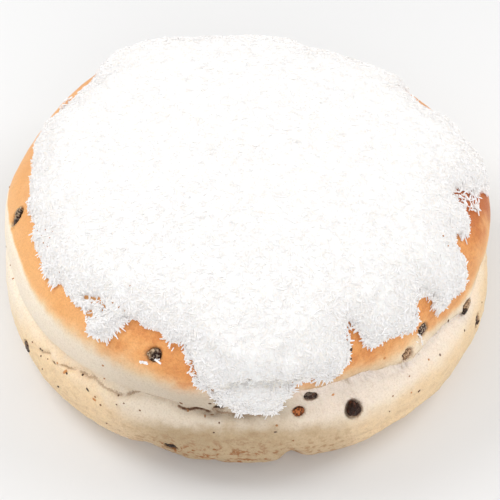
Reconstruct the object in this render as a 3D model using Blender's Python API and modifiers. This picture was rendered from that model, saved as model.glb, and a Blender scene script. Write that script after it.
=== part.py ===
"""A Boston bun: a round fruit bun with a crease round its waist, currants in its crust, and a
thick cap of coconut icing that runs down its front in tongues.

Metres, +Z up. The bun stands on its flat base, centred on the origin, with its front at -Y.
A place on the crust is given by its angle (degrees from +X, so the front is -90) and its
reach: the distance along the crust from the middle of the crown, as a tape would measure it.
"""

import math
import random

import bmesh
import bpy
from mathutils import Matrix, Vector, noise

MM = 0.001

# The dough, as it would be if it had risen evenly all round.
BUN_HEIGHT = 66.5 * MM
CROWN_RADIUS = 86.5 * MM
CROWN_BULGE_HEIGHT = 40 * MM
CROWN_SQUARENESS = 2.45  # 2 is a round dome, more is a flatter top and a fuller shoulder
CREASE_RADIUS = 82.5 * MM
CREASE_HEIGHT = 29.5 * MM
FOOT_RADIUS = 89.5 * MM
FOOT_BULGE_HEIGHT = 15 * MM
BASE_RADIUS = 75 * MM

# How it really rose.
CROWN_LEAN = Vector((-1.5 * MM, 3.0 * MM, 0))
SWELL_FADE = 7 * MM  # the height over which a swell of the crown sets in
# (angle, outward, half width in degrees, height where it starts)
CROWN_SWELLS = (
    (116, 3.6 * MM, 46, 30 * MM),
    (58, -3.6 * MM, 40, 30 * MM),
    (2, 3.2 * MM, 40, 28 * MM),
    (176, -4.6 * MM, 50, 43 * MM),
    (92, -2.2 * MM, 22, 30 * MM),
    (-122, 1.6 * MM, 40, 31 * MM),
    (-50, -1.6 * MM, 30, 31 * MM),
)
# (angle, rise, half width in degrees)
CREASE_WAVES = ((-146, -4.0 * MM, 32), (-108, 1.2 * MM, 14), (-22, -1.5 * MM, 18), (70, 2.5 * MM, 60))
# (angle, share of the crease that is filled, half width in degrees)
CREASE_FILLS = ((172, 0.75, 50), (-52, 0.35, 16), (40, 0.4, 36), (104, 0.5, 26))
# Folds where the foot dried on the tray: (angle, inward, half width in degrees)
FOOT_FOLDS = (
    (-112, 1.7 * MM, 4.5),
    (-79, 2.0 * MM, 4.0),
    (-57, 1.5 * MM, 5.0),
    (-31, 1.8 * MM, 4.5),
    (-140, 1.0 * MM, 5.0),
    (24, 1.6 * MM, 5.0),
    (83, 2.0 * MM, 4.5),
    (131, 1.4 * MM, 5.0),
    (170, 1.2 * MM, 4.5),
)
# Dough swollen over a hidden currant: (angle, reach, outward, half width)
BLISTERS = (
    (-65, 93 * MM, 1.8 * MM, 7 * MM),
    (-51, 103 * MM, 1.6 * MM, 7 * MM),
    (-27, 107 * MM, 2.2 * MM, 8 * MM),
    (28, 104 * MM, 1.8 * MM, 8 * MM),
    (147, 108 * MM, 2.0 * MM, 8 * MM),
)
SKIN_UNEVENNESS = 0.5 * MM
SKIN_UNEVENNESS_SIZE = 22 * MM

# The icing.
ICING_THICKNESS = 4.6 * MM
ICING_RIM_POWER = 0.42  # how fast it thickens inwards from its edge
ICING_GAP = 0.35 * MM
ICING_ROOT = -1.2 * MM  # its lower side before the dough is cut out of it
ICING_REACH = 82 * MM
ICING_UNEVENNESS = 0.7 * MM
ICING_FADE = 3
# Tongues run further down the crust and notches stop short:
# (angle, reach added, half width and width of each sloping side in degrees)
ICING_TONGUES = (
    (-142, 2 * MM, 14, 8),
    (-124, 7 * MM, 5, 4),
    (-116, -3.5 * MM, 9, 7),
    (-84, 12.5 * MM, 20, 5),
    (-90, 8 * MM, 12, 4.5),
    (-88.5, 7 * MM, 8, 5),
    (-53.5, 12 * MM, 10, 4),
    (-33, 13 * MM, 9.5, 4),
    (-21, 3 * MM, 7, 5),
    (-10, -7 * MM, 8, 7),
    (4, 7 * MM, 10, 7),
    (30, -6 * MM, 12, 9),
    (47, 6 * MM, 9, 6),
    (66, -5 * MM, 10, 8),
    (84, 13 * MM, 12, 7),
    (103, -3 * MM, 9, 7),
    (119, 8 * MM, 10, 6),
    (144, -7 * MM, 14, 10),
)
ICING_SCALLOPS = ((9, 1.0 * MM, 0.4), (17, 0.9 * MM, 2.1), (31, 0.7 * MM, 4.0))  # (waves round, size, phase)
# Where the icing has slumped: (angle, reach, depth, width, half width in degrees)
ICING_HOLLOWS = ((-88, 98 * MM, 1.5 * MM, 5 * MM, 16), (93, 78 * MM, 1.4 * MM, 8 * MM, 9))

# Coconut threads, the largest of those pressed in the icing.
THREAD_LENGTH = (3.0 * MM, 4.6 * MM)
THREAD_WIDTH = (0.8 * MM, 1.15 * MM)
THREADS_ON_TOP = 72
THREADS_ON_RIM = 38
THREAD_SINK = 0.25 * MM  # how far the middle of a thread lies under the icing's top
THREAD_SEED = 7

# Currants: (angle, reach, length, width, turn in degrees, how deep the middle lies)
CURRANT_GAP = 0.35 * MM
CURRANTS = (
    (-66, 115.5 * MM, 7.0 * MM, 6.0 * MM, 80, 1.2 * MM),
    (-45, 97.5 * MM, 5.4 * MM, 4.6 * MM, 60, 1.3 * MM),
    (-109.5, 86 * MM, 5.4 * MM, 4.8 * MM, 40, 1.2 * MM),
    (-169, 88 * MM, 8.0 * MM, 4.6 * MM, 130, 1.1 * MM),
    (-51, 101 * MM, 5.6 * MM, 4.4 * MM, 20, 1.5 * MM),
    (-27, 106 * MM, 6.2 * MM, 4.6 * MM, 30, 1.6 * MM),
    (-75.3, 103 * MM, 5.0 * MM, 3.6 * MM, 150, 1.5 * MM),
    (-78.3, 110.7 * MM, 4.6 * MM, 3.8 * MM, 20, 1.6 * MM),
    (-96, 106.4 * MM, 6.2 * MM, 3.2 * MM, 25, 1.6 * MM),
    (-87, 110.3 * MM, 4.0 * MM, 3.2 * MM, 70, 1.6 * MM),
    (-151.5, 125.5 * MM, 7.2 * MM, 4.8 * MM, 90, 1.4 * MM),
    (-106.5, 129 * MM, 6.0 * MM, 3.6 * MM, 0, 1.5 * MM),
    (-22.5, 122 * MM, 6.6 * MM, 4.4 * MM, 80, 1.6 * MM),
    (18, 121 * MM, 7.2 * MM, 5.8 * MM, 15, 1.4 * MM),
    (52, 104 * MM, 6.4 * MM, 5.2 * MM, 130, 1.3 * MM),
    (74, 128 * MM, 7.2 * MM, 5.6 * MM, 60, 1.4 * MM),
    (108, 116 * MM, 6.8 * MM, 5.2 * MM, 10, 1.4 * MM),
    (138, 124 * MM, 6.8 * MM, 5.4 * MM, 100, 1.4 * MM),
)

# Facets.
BUN_SEGMENTS = 84
CROWN_STEPS = 10
FOOT_STEPS = 5
LIP_STEPS = 3
PROFILE_FINENESS = 12  # how much finer the profile is measured than it is built
ICING_SEGMENTS = 112
ICING_RINGS = 16
CURRANT_SUBDIVISIONS = 2

CRUST_COLOUR = (0.80, 0.58, 0.36, 1)
ICING_COLOUR = (0.93, 0.92, 0.90, 1)
CURRANT_COLOUR = (0.045, 0.025, 0.018, 1)


def smooth_step(low, high, value):
    share = min(1.0, max(0.0, (value - low) / (high - low)))
    return share * share * (3 - 2 * share)


def bump(angle, centre, half_width):
    """1 at the centre angle, falling smoothly to 0 at half_width degrees on either side."""
    away = abs((angle - centre + 180) % 360 - 180)
    return math.cos(math.pi / 2 * away / half_width) ** 2 if away < half_width else 0.0


def plateau(angle, centre, half_width, side):
    """1 round the centre angle, falling smoothly to 0 over the last side degrees of half_width."""
    away = abs((angle - centre + 180) % 360 - 180)
    return 1 - smooth_step(half_width - side, half_width, away)


def crust_profile(fineness=1):
    """(radius, height) of the even bun, from the middle of the crown down to the base's rim."""
    points = []
    steps = CROWN_STEPS * fineness
    for step in range(steps + 1):
        phi = math.pi / 2 * (1 - step / steps)
        power = 2 / CROWN_SQUARENESS
        rise = (BUN_HEIGHT - CROWN_BULGE_HEIGHT) * math.sin(phi) ** power
        points.append((CROWN_RADIUS * max(0.0, math.cos(phi)) ** power, CROWN_BULGE_HEIGHT + rise))
    points[0] = (0.0, BUN_HEIGHT)
    steps = LIP_STEPS * fineness
    for step in range(1, steps + 1):  # the crown's lip curls in to the crease
        phi = math.pi / 2 * step / steps
        radius = CREASE_RADIUS + (CROWN_RADIUS - CREASE_RADIUS) * math.cos(phi)
        points.append((radius, CROWN_BULGE_HEIGHT - (CROWN_BULGE_HEIGHT - CREASE_HEIGHT) * math.sin(phi)))
    steps = FOOT_STEPS * fineness
    for step in range(1, steps + 1):  # the foot swells out below the crease
        phi = math.pi / 2 * step / steps
        radius = CREASE_RADIUS + (FOOT_RADIUS - CREASE_RADIUS) * math.sin(phi)
        points.append((radius, FOOT_BULGE_HEIGHT + (CREASE_HEIGHT - FOOT_BULGE_HEIGHT) * math.cos(phi)))
    for step in range(1, steps + 1):  # and turns under to the base
        phi = math.pi / 2 * step / steps
        radius = BASE_RADIUS + (FOOT_RADIUS - BASE_RADIUS) * math.cos(phi)
        points.append((radius, FOOT_BULGE_HEIGHT * (1 - math.sin(phi))))
    return points


def measured_profile():
    """The fine profile with each point's reach: (reach, radius, height)."""
    reach, rows, before = 0.0, [], None
    for radius, height in crust_profile(PROFILE_FINENESS):
        if before:
            reach += math.hypot(radius - before[0], height - before[1])
        before = (radius, height)
        rows.append((reach, radius, height))
    return rows


PROFILE = measured_profile()


def even_crust(reach):
    """(radius, height) of the even bun's crust at this reach."""
    for (near, r0, z0), (far, r1, z1) in zip(PROFILE, PROFILE[1:]):
        if reach <= far:
            share = (reach - near) / (far - near)
            return r0 + (r1 - r0) * share, z0 + (z1 - z0) * share
    return PROFILE[-1][1:]


def even_place(angle, reach, lift=0.0):
    """The even bun's point at this angle and reach, lifted off it: straight outwards under the bulge."""
    step = 1.5 * MM
    radius, height = even_crust(reach)
    if height > CROWN_BULGE_HEIGHT:
        r0, z0 = even_crust(max(0.0, reach - step))
        r1, z1 = even_crust(reach + step)
        slope = math.hypot(r1 - r0, z1 - z0)
        radius += lift * (z0 - z1) / slope
        height += lift * (r1 - r0) / slope
    else:
        radius += lift
    turn = math.radians(angle)
    return Vector((radius * math.cos(turn), radius * math.sin(turn), height))


def settled(point):
    """Where a point of the even bun ends up on the bun as it really rose."""
    angle = math.degrees(math.atan2(point.y, point.x))
    radius, height = math.hypot(point.x, point.y), point.z
    edge_share = min(1.0, radius / CREASE_RADIUS)
    crown_share = smooth_step(CREASE_HEIGHT - 2 * MM, CREASE_HEIGHT + 9 * MM, height)

    near_crease = math.exp(-(((height - CREASE_HEIGHT) / (4.5 * MM)) ** 2)) * edge_share**8
    filled = max(share * bump(angle, centre, width) for centre, share, width in CREASE_FILLS)
    outward = filled * (CROWN_RADIUS - CREASE_RADIUS) * near_crease
    for centre, swell, width, start in CROWN_SWELLS:
        swell *= smooth_step(start, start + SWELL_FADE, height)
        outward += swell * bump(angle, centre, width) * edge_share
    foot_share = (1 - smooth_step(0, 17 * MM, height)) * edge_share**6
    for centre, depth, width in FOOT_FOLDS:
        outward -= depth * bump(angle, centre, width) * foot_share
    place = Vector((point.x, point.y, 0))
    for centre, reach, rise, width in BLISTERS:
        away = (point - even_place(centre, reach)).length
        outward += rise * math.exp(-((away / (width * 0.55)) ** 2))

    rise = 0.0
    for centre, wave, width in CREASE_WAVES:
        rise += wave * bump(angle, centre, width) * edge_share**6
    rise *= smooth_step(4 * MM, CREASE_HEIGHT - 4 * MM, height)
    rise *= 1 - smooth_step(CREASE_HEIGHT, 52 * MM, height)
    unevenness = noise.noise(point / SKIN_UNEVENNESS_SIZE) * SKIN_UNEVENNESS
    outward += unevenness * smooth_step(0, 6 * MM, height)
    rise += unevenness * crown_share

    if radius > 0:
        place *= 1 + outward / radius * edge_share
    place += CROWN_LEAN * crown_share
    place.z = height + rise
    return place


def skin_frame(angle, reach, lift=0.0):
    """A matrix on the settled crust: X runs round the bun, Y up the crust and Z out of it."""
    step = 1.0 * MM
    step_angle = math.degrees(step / max(5 * MM, even_crust(reach)[0]))
    here = settled(even_place(angle, reach, lift))
    left, right = (settled(even_place(angle + side * step_angle, reach, lift)) for side in (-1, 1))
    above, below = (settled(even_place(angle, reach + side * step, lift)) for side in (-1, 1))
    x = (right - left).normalized()
    z = x.cross(above - below).normalized()
    y = z.cross(x)
    frame = Matrix((x, y, z)).transposed().to_4x4()
    frame.translation = here
    return frame


def icing_edge(angle):
    """The reach of the icing's edge at this angle."""
    reach = ICING_REACH
    for centre, added, half_width, side in ICING_TONGUES:
        reach += added * plateau(angle, centre, half_width, side)
    for waves, size, phase in ICING_SCALLOPS:
        reach += size * math.sin(waves * math.radians(angle) + phase)
    return reach


def icing_reach(angle, share):
    """The reach at this share of the way to the icing's edge. Tongues and notches fade out inwards."""
    return share * ICING_REACH + share**ICING_FADE * (icing_edge(angle) - ICING_REACH)


def icing_surface(angle, share, polar):
    """Lift of the icing's top over the crust, at this share of the way to its edge."""
    reach = icing_reach(angle, share)
    body = ICING_THICKNESS * max(0.0, math.cos(polar)) ** ICING_RIM_POWER
    for centre, hollow, depth, width, half_width in ICING_HOLLOWS:
        body -= depth * bump(angle, centre, half_width) * math.exp(-(((reach - hollow) / width) ** 2))
    wave = noise.noise(even_place(angle, reach) / (13 * MM)) * ICING_UNEVENNESS * math.cos(polar) ** 0.5
    return ICING_GAP + max(0.6 * MM, body + wave)


def material(name, colour, roughness):
    made = bpy.data.materials.new(name)
    made.use_nodes = True
    shader = made.node_tree.nodes["Principled BSDF"]
    shader.inputs["Base Color"].default_value = colour
    shader.inputs["Roughness"].default_value = roughness
    shader.inputs["Metallic"].default_value = 0.0
    made.diffuse_color = colour
    return made


def object_from(name, mesh, collection, finish=None):
    made = bpy.data.objects.new(name, mesh)
    collection.objects.link(made)
    if finish:
        mesh.materials.clear()
        mesh.materials.append(finish)
    mesh.shade_smooth()
    return made


def mesh_from_bmesh(shape, name):
    mesh = bpy.data.meshes.new(name)
    shape.to_mesh(mesh)
    shape.free()
    return mesh


def with_modifiers_applied(obj):
    """Gives the object the mesh that its modifiers make, and drops them."""
    graph = bpy.context.evaluated_depsgraph_get()
    mesh = bpy.data.meshes.new_from_object(obj.evaluated_get(graph))
    obj.modifiers.clear()
    obj.data = mesh
    return obj


def remove_collection(collection):
    for obj in list(collection.objects):
        bpy.data.objects.remove(obj)
    bpy.data.collections.remove(collection)


def boolean(obj, collection, operation, solver="EXACT"):
    """Cuts or joins everything in the collection, then removes it."""
    cut = obj.modifiers.new(operation.lower(), "BOOLEAN")
    cut.operation = operation
    cut.operand_type = "COLLECTION"
    cut.collection = collection
    cut.solver = solver
    with_modifiers_applied(obj)
    remove_collection(collection)


def drop_loose_scraps(obj):
    """Keeps the largest connected piece of the object's mesh, and drops the rest."""
    shape = bmesh.new()
    shape.from_mesh(obj.data)
    islands, seen = [], set()
    for start in shape.verts:
        if start in seen:
            continue
        island, waiting = [], [start]
        seen.add(start)
        while waiting:
            vertex = waiting.pop()
            island.append(vertex)
            for edge in vertex.link_edges:
                other = edge.other_vert(vertex)
                if other not in seen:
                    seen.add(other)
                    waiting.append(other)
        islands.append(island)
    islands.sort(key=len)
    scraps = [vertex for island in islands[:-1] for vertex in island]
    bmesh.ops.delete(shape, geom=scraps, context="VERTS")
    shape.to_mesh(obj.data)
    shape.free()


def build_bun(collection, finish):
    """The dough: a turned profile, then moved to the shape that it rose to."""
    outline = bmesh.new()
    points = [*crust_profile(), (0.0, 0.0)]
    verts = [outline.verts.new((radius, 0, height)) for radius, height in points]
    for upper, lower in zip(verts, verts[1:]):
        outline.edges.new((upper, lower))
    bun = object_from("bun", mesh_from_bmesh(outline, "bun"), collection, finish)
    turn = bun.modifiers.new("turn", "SCREW")
    turn.axis = "Z"
    turn.steps = turn.render_steps = BUN_SEGMENTS
    turn.use_merge_vertices = True
    turn.merge_threshold = 0.00001
    with_modifiers_applied(bun)
    for vertex in bun.data.vertices:
        vertex.co = settled(vertex.co)
    bun.data.shade_smooth()
    return bun


def currant_shape(length, width, seed, grow=0.0):
    """A wrinkled, slightly squashed ball. grow makes it larger all over."""
    shape = bmesh.new()
    bmesh.ops.create_icosphere(shape, subdivisions=CURRANT_SUBDIVISIONS, radius=1)
    size = Vector((length / 2, width / 2, width * 0.42))
    for vertex in shape.verts:
        ridge = noise.noise(vertex.co * 1.9 + Vector((seed * 7.3, seed, 0)))
        vertex.co = vertex.co * size * (1 + 0.16 * ridge) + vertex.co * grow
    return shape


def build_currants(bun, collection, finish):
    """Each currant sits in its own pocket in the crust."""
    pockets = bpy.data.collections.new("pockets")
    bpy.context.scene.collection.children.link(pockets)
    for count, (angle, reach, length, width, turn, depth) in enumerate(CURRANTS, 1):
        place = skin_frame(angle, reach) @ Matrix.Translation((0, 0, -depth))
        place @= Matrix.Rotation(math.radians(turn), 4, "Z")
        currant_mesh = mesh_from_bmesh(currant_shape(length, width, count), "currant")
        object_from(f"currant_{count:02d}", currant_mesh, collection, finish).matrix_world = place
        pocket_mesh = mesh_from_bmesh(currant_shape(length, width, count, CURRANT_GAP), "pocket")
        object_from(f"pocket_{count:02d}", pocket_mesh, pockets).matrix_world = place
    boolean(bun, pockets, "DIFFERENCE")


def build_icing(bun, collection, finish):
    """The icing: a ball whose upper half becomes its top, less the dough grown by the gap between them."""
    shape = bmesh.new()
    bmesh.ops.create_uvsphere(shape, u_segments=ICING_SEGMENTS, v_segments=ICING_RINGS, radius=1)
    for vertex in shape.verts:
        polar = math.acos(max(-1.0, min(1.0, vertex.co.z)))
        angle = math.degrees(math.atan2(vertex.co.y, vertex.co.x))
        share = math.hypot(vertex.co.x, vertex.co.y)
        on_top = polar <= math.pi / 2
        lift = icing_surface(angle, share, polar) if on_top and share < 0.9999 else ICING_ROOT
        vertex.co = settled(even_place(angle, icing_reach(angle, share), lift))
    icing = object_from("icing", mesh_from_bmesh(shape, "icing"), collection, finish)
    dough = bpy.data.collections.new("dough")
    bpy.context.scene.collection.children.link(dough)
    grown = bun.data.copy()
    for vertex in grown.vertices:
        vertex.co = vertex.co + vertex.normal * ICING_GAP
    object_from("grown", grown, dough)
    boolean(icing, dough, "DIFFERENCE", "MANIFOLD")
    drop_loose_scraps(icing)
    return icing


def thread_place(draw, angle, share, turns, tilts):
    """A matrix half sunk in the icing's top, turned and tilted up by degrees drawn at random."""
    polar = math.asin(min(1.0, share))
    lift = icing_surface(angle, share, polar)
    frame = skin_frame(angle, icing_reach(angle, share), lift - THREAD_SINK)
    turn = Matrix.Rotation(math.radians(draw.uniform(*turns) - 90), 4, "Z")
    tilt = Matrix.Rotation(math.radians(90 - draw.uniform(*tilts)), 4, "Y")
    return frame @ turn @ tilt


def build_threads(icing):
    """The largest coconut threads, spread evenly over the icing and round its rim, and joined to it."""
    threads = bpy.data.collections.new("threads")
    bpy.context.scene.collection.children.link(threads)
    draw = random.Random(THREAD_SEED)
    golden_angle = 180 * (3 - math.sqrt(5))
    places = []
    for count in range(THREADS_ON_TOP):
        share = 0.93 * math.sqrt((count + 0.5) / THREADS_ON_TOP)
        places.append(thread_place(draw, count * golden_angle, share, (-180, 180), (14, 38)))
    for count in range(THREADS_ON_RIM):
        angle = 360 * (count + draw.uniform(0.2, 0.8)) / THREADS_ON_RIM
        places.append(thread_place(draw, angle, 0.95, (-50, 50), (4, 20)))
    for count, place in enumerate(places):
        width = draw.uniform(*THREAD_WIDTH)
        shape = bmesh.new()
        bmesh.ops.create_cone(
            shape,
            cap_ends=True,
            segments=4,
            radius1=width * 0.7,
            radius2=width * 0.45,
            depth=draw.uniform(*THREAD_LENGTH),
        )
        object_from(f"thread_{count:03d}", mesh_from_bmesh(shape, "thread"), threads).matrix_world = place
    boolean(icing, threads, "UNION", "MANIFOLD")
    drop_loose_scraps(icing)


def centre_on_origin(objects):
    """Moves everything sideways so that the whole's bounding box is centred on the origin."""
    bpy.context.view_layer.update()
    corners = [obj.matrix_world @ vertex.co for obj in objects for vertex in obj.data.vertices]
    middle = [(min(c[axis] for c in corners) + max(c[axis] for c in corners)) / 2 for axis in (0, 1)]
    for obj in objects:
        obj.location -= Vector((*middle, 0))


def main():
    for obj in list(bpy.data.objects):
        bpy.data.objects.remove(obj)
    collection = bpy.data.collections.new("boston_bun")
    bpy.context.scene.collection.children.link(collection)
    bun = build_bun(collection, material("baked_crust", CRUST_COLOUR, 0.62))
    icing = build_icing(bun, collection, material("coconut_icing", ICING_COLOUR, 0.8))
    build_threads(icing)
    build_currants(bun, collection, material("currant", CURRANT_COLOUR, 0.38))
    centre_on_origin(list(collection.objects))
    for obj in collection.objects:
        obj.data.shade_smooth()


main()
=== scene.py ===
from itertools import product
from math import cos, pi, radians, sin

import bpy
import numpy as np
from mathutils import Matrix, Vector
from mathutils.bvhtree import BVHTree
from mathutils.kdtree import KDTree


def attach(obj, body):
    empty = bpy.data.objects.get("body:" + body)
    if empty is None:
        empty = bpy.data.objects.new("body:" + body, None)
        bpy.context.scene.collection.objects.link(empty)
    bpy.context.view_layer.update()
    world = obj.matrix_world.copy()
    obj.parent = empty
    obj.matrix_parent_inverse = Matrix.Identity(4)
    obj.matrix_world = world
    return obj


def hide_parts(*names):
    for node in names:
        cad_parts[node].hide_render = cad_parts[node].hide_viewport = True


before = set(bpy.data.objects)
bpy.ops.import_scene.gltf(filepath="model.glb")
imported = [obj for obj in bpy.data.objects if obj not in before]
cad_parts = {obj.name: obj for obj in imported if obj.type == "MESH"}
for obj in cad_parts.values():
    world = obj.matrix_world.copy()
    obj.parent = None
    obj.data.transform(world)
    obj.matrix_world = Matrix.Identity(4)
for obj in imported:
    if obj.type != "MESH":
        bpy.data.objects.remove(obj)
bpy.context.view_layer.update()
mm = 0.001  # every size in this script is in millimetres, and becomes metres through this
print("frame loaded:", len(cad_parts), "solids")


# The camera looks at the bun from the front and well above.
camera = {
    "rise": 46.0,                   # degrees above the horizon
    "distance": 500.0,
    "target": (1.1, -12.5, 32.0),
    "lens": 100.0,
    "sensor": 36.0,
    "frame": 500.0,                 # pixels along a side of what it sees
    "near": 10.0,
    "far": 20000.0,
}


def viewDirection():
    rise = radians(camera["rise"])
    return Vector((0.0, cos(rise), -sin(rise)))


def frameDirection(turn):
    # a direction across the camera's frame, in degrees from its right hand side
    right = Vector((1.0, 0.0, 0.0))
    return right * cos(radians(turn)) + right.cross(viewDirection()) * sin(radians(turn))


def addCamera():
    data = bpy.data.cameras.new("camera")
    data.lens, data.sensor_width = camera["lens"], camera["sensor"]
    data.clip_start, data.clip_end = camera["near"] * mm, camera["far"] * mm
    eye = bpy.data.objects.new("camera", data)
    eye.location = (Vector(camera["target"]) - viewDirection() * camera["distance"]) * mm
    eye.rotation_euler = viewDirection().to_track_quat("-Z", "Y").to_euler()
    bpy.context.scene.collection.objects.link(eye)
    bpy.context.scene.camera = eye


def pixelHit(x, y, tree):
    # where the camera sees a surface at a pixel of its frame, and the surface's direction there
    ahead = viewDirection()
    right = Vector((1.0, 0.0, 0.0))
    up = right.cross(ahead)
    scale = camera["sensor"] / camera["lens"] / camera["frame"]
    middle = camera["frame"] / 2
    ray = ahead + right * ((x - middle) * scale) + up * ((middle - y) * scale)
    eye = Vector(camera["target"]) - ahead * camera["distance"]
    place, normal, _, _ = tree.ray_cast(eye, ray.normalized())
    return place, normal


addCamera()
print("camera placed")


# Mesh helpers. Points are handed round as arrays of millimetres.
mergeWithin = 0.00001  # metres, between points of a solid's loose triangles
flatEnough = 0.7       # radians, between triangles that make one quad
drumRadius = 85        # about the bun's own, for patterns that go round it
farOut = 130           # beyond the bun's side, where rays towards it start


def onlySelect(piece):
    bpy.ops.object.select_all(action="DESELECT")
    piece.select_set(True)
    bpy.context.view_layer.objects.active = piece


def applyModifier(piece, name, kind, **settings):
    onlySelect(piece)
    modifier = piece.modifiers.new(name, kind)
    for setting, value in settings.items():
        setattr(modifier, setting, value)
    bpy.ops.object.modifier_apply(modifier=name)


def copyOfNode(node, name):
    # a merged copy of a solid of the frame, as a piece of its own
    piece = bpy.data.objects.new(name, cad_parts[node].data.copy())
    bpy.context.scene.collection.objects.link(piece)
    piece.data.materials.clear()
    onlySelect(piece)
    bpy.ops.object.mode_set(mode="EDIT")
    bpy.ops.mesh.select_all(action="SELECT")
    bpy.ops.mesh.remove_doubles(threshold=mergeWithin)
    bpy.ops.mesh.tris_convert_to_quads(face_threshold=flatEnough, shape_threshold=flatEnough)
    bpy.ops.object.mode_set(mode="OBJECT")
    return piece


def readPoints(piece):
    flat = np.empty(len(piece.data.vertices) * 3)
    piece.data.vertices.foreach_get("co", flat)
    return flat.reshape(-1, 3) / mm


def readNormals(piece):
    flat = np.empty(len(piece.data.vertices) * 3)
    piece.data.vertices.foreach_get("normal", flat)
    return flat.reshape(-1, 3)


def writePoints(piece, points):
    piece.data.vertices.foreach_set("co", (points * mm).ravel())
    piece.data.update()


def writeAttribute(piece, name, values):
    kind, field = ("FLOAT", "value") if values.ndim == 1 else ("FLOAT_VECTOR", "vector")
    attribute = piece.data.attributes.new(name, kind, "POINT")
    attribute.data.foreach_set(field, values.ravel())


def newPiece(name, points, faces):
    # points in metres
    mesh = bpy.data.meshes.new(name)
    mesh.from_pydata(points, [], faces)
    piece = bpy.data.objects.new(name, mesh)
    bpy.context.scene.collection.objects.link(piece)
    return piece


def takeShape(piece):
    # the points and faces of a shape that's only modelled to be copied
    points = np.array([vertex.co for vertex in piece.data.vertices])
    faces = [tuple(face.vertices) for face in piece.data.polygons]
    bpy.data.objects.remove(piece)
    return points, faces


def treeOf(piece):
    faces = [tuple(face.vertices) for face in piece.data.polygons]
    return BVHTree.FromPolygons(readPoints(piece).tolist(), faces)


def polar(points):
    # degrees round from the right hand side, distance from the axis, height
    x, y, z = points[:, 0], points[:, 1], points[:, 2]
    return np.degrees(np.arctan2(y, x)), np.hypot(x, y), z


def turnFrom(middle, angle):
    # degrees from one direction round to others, from -180 to 180
    return (angle - middle + 180) % 360 - 180


def around(angle, stops):
    # a value that changes round the bun, from stops of (angle, value)
    places, values = zip(*stops)
    return np.interp(angle, places, values, period=360)


def ease(low, high, value):
    share = np.clip((value - low) / (high - low), 0, 1)
    return share * share * (3 - 2 * share)


def lumps(points, size, seed):
    # smooth noise from -1 to 1, its lumps about the size given
    # large odd numbers scramble the corners of its cells
    grid = points / size + 500.5 + 13.7 * seed
    cell = np.floor(grid).astype(np.int64)
    part = grid - cell
    part = part * part * (3 - 2 * part)
    total = 0
    for step in product((0, 1), repeat=3):
        corner = cell + step
        key = corner[:, 0] * 73856093 ^ corner[:, 1] * 19349663 ^ corner[:, 2] * 83492791
        key = (key + seed * 2654435761) & 0xFFFFFFFF
        key = ((key ^ (key >> 15)) * 2246822519) & 0xFFFFFFFF
        key = ((key ^ (key >> 13)) * 3266489917) & 0xFFFFFFFF
        value = (key >> 8) / 8388607.5 - 1
        weight = np.prod(np.where(step, part, 1 - part), axis=1)
        total = total + value * weight
    return total


def wrapped(angle, height, squeeze=1.0):
    # places on a plain drum: a pattern on them follows the side of the bun, and has no seam
    turn = np.radians(angle)
    x, y = drumRadius * np.cos(turn), drumRadius * np.sin(turn)
    return np.stack((x, y, height * squeeze), axis=1)


# Shader helpers.
def paint(red, green, blue):
    def linear(value):
        share = value / 255
        return share / 12.92 if share <= 0.04045 else ((share + 0.055) / 1.055) ** 2.4
    return (linear(red), linear(green), linear(blue), 1.0)


class Wire:
    # a socket that can be written in sums
    def __init__(self, finish, socket):
        self.finish, self.socket = finish, socket

    def maths(self, operation, *values):
        sockets = dict(enumerate(values))
        return self.finish.node("ShaderNodeMath", {"operation": operation}, sockets)

    def __add__(self, other):
        return self.maths("ADD", self, other)

    __radd__ = __add__

    def __sub__(self, other):
        return self.maths("SUBTRACT", self, other)

    def __rsub__(self, other):
        return self.maths("SUBTRACT", other, self)

    def __mul__(self, other):
        return self.maths("MULTIPLY", self, other)

    __rmul__ = __mul__

    def __truediv__(self, other):
        return self.maths("DIVIDE", self, other)

    def __abs__(self):
        return self.maths("ABSOLUTE", self)


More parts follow.
